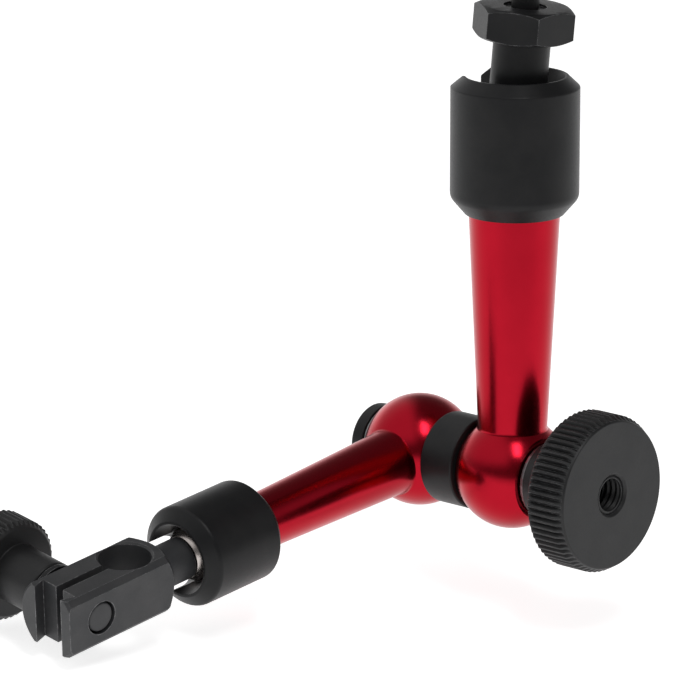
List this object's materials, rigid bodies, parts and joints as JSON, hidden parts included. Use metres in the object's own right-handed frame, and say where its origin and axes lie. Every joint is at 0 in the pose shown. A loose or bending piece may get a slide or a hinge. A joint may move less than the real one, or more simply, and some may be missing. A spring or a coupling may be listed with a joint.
{
  "type": "dial indicator holder arm",
  "caption": "Articulated indicator holder arm: two red arms on a central lock spindle, a slotted ball joint at each end, a hexagon collar with stud, and a split stem clamp.",
  "frame": {"origin": "centre of the hexagon collar's seat face, on the stud's axis", "axes": "+Z runs out along the M6 stud; +X is the side of the lock knob; the lower end of the base arm hangs towards -Z and the tip arm reaches towards -Y"},
  "size_m": [0.0616, 0.0914, 0.1037],
  "materials": {
    "anodised_red": "satin red anodised",
    "black_oxide": "satin black oxide",
    "knob_black": "matte black oxide",
    "bright_steel": "polished",
    "spring_steel": "ground"
  },
  "bodies": {
    "mount": {"mount_stud": "black_oxide"},
    "base_ball": {"base_ball": "bright_steel"},
    "base_arm": {"base_arm": "anodised_red", "base_cap": "black_oxide", "base_disc_spring_1": "spring_steel", "base_disc_spring_2": "spring_steel", "spacer_ring": "black_oxide", "ring_key": "bright_steel", "ring_pin": "bright_steel", "knob_washer": "spring_steel"},
    "base_rod": {"base_push_rod": "spring_steel", "base_ball_cup": "bright_steel"},
    "spindle": {"spindle": "black_oxide", "head_washer": "spring_steel"},
    "lock_knob": {"lock_knob": "knob_black"},
    "tip_arm": {"tip_arm": "anodised_red", "tip_cap": "black_oxide", "tip_disc_spring": "spring_steel"},
    "tip_rod": {"tip_push_rod": "spring_steel", "tip_ball_cup": "bright_steel"},
    "tip_ball": {"tip_ball": "bright_steel"},
    "stem_clamp": {"stem_clamp": "black_oxide", "clamp_washer": "spring_steel"},
    "clamp_screw": {"clamp_screw": "black_oxide"},
    "clamp_knob": {"clamp_knob": "knob_black"}
  },
  "joints": [
    {"name": "base_spin", "type": "hinge", "parent": "mount", "child": "base_ball", "pos_m": [0, 0, -0.018], "axis": [0, 0, 1], "continuous": true},
    {"name": "base_tilt", "type": "hinge", "parent": "base_ball", "child": "base_arm", "pos_m": [0, 0, -0.018], "axis": [-0.2071, 0.9783, 0], "range_deg": [-14, 93]},
    {"name": "elbow", "type": "hinge", "parent": "base_arm", "child": "tip_arm", "pos_m": [-0.01544, 0.00212, -0.07361], "axis": [0.9978, -0.0013, 0.0664], "continuous": true},
    {"name": "tip_tilt", "type": "hinge", "parent": "tip_arm", "child": "tip_ball", "pos_m": [-0.01498, -0.04688, -0.08135], "axis": [0.5116, 0.1388, -0.8479], "range_deg": [-22, 86]},
    {"name": "clamp_spin", "type": "hinge", "parent": "tip_ball", "child": "stem_clamp", "pos_m": [-0.01498, -0.04688, -0.08135], "axis": [-0.0467, -0.9777, -0.2046], "continuous": true},
    {"name": "lock_knob_turn", "type": "hinge", "parent": "base_arm", "child": "lock_knob", "pos_m": [0.00362, 0.00209, -0.07234], "axis": [0.9978, -0.0013, 0.0664], "range_deg": [0, 180]},
    {"name": "spindle_travel", "type": "slide", "parent": "base_arm", "child": "spindle", "axis": [-0.9978, 0.0013, -0.0664], "range_m": [0, 0.0005]},
    {"name": "base_rod_travel", "type": "slide", "parent": "base_arm", "child": "base_rod", "axis": [0.0664, 0.0384, -0.9971], "range_m": [0, 0.0002]},
    {"name": "tip_rod_travel", "type": "slide", "parent": "tip_arm", "child": "tip_rod", "axis": [-0.0091, 0.9877, 0.1561], "range_m": [0, 0.0002]},
    {"name": "clamp_screw_travel", "type": "slide", "parent": "stem_clamp", "child": "clamp_screw", "axis": [-0.9956, 0.0289, 0.0888], "range_m": [0, 0.0008]},
    {"name": "clamp_knob_turn", "type": "hinge", "parent": "clamp_screw", "child": "clamp_knob", "pos_m": [-0.01608, -0.0698, -0.08615], "axis": [-0.9956, 0.0289, 0.0888], "range_deg": [0, 360]}
  ],
  "couplings": [
    {"joint": "lock_knob_turn", "follows": "spindle_travel", "rad_per_m": 6283.2},
    {"joint": "base_rod_travel", "follows": "spindle_travel", "ratio": 0.3182},
    {"joint": "tip_rod_travel", "follows": "spindle_travel", "ratio": 0.3182},
    {"joint": "clamp_knob_turn", "follows": "clamp_screw_travel", "rad_per_m": 7854}
  ]
}
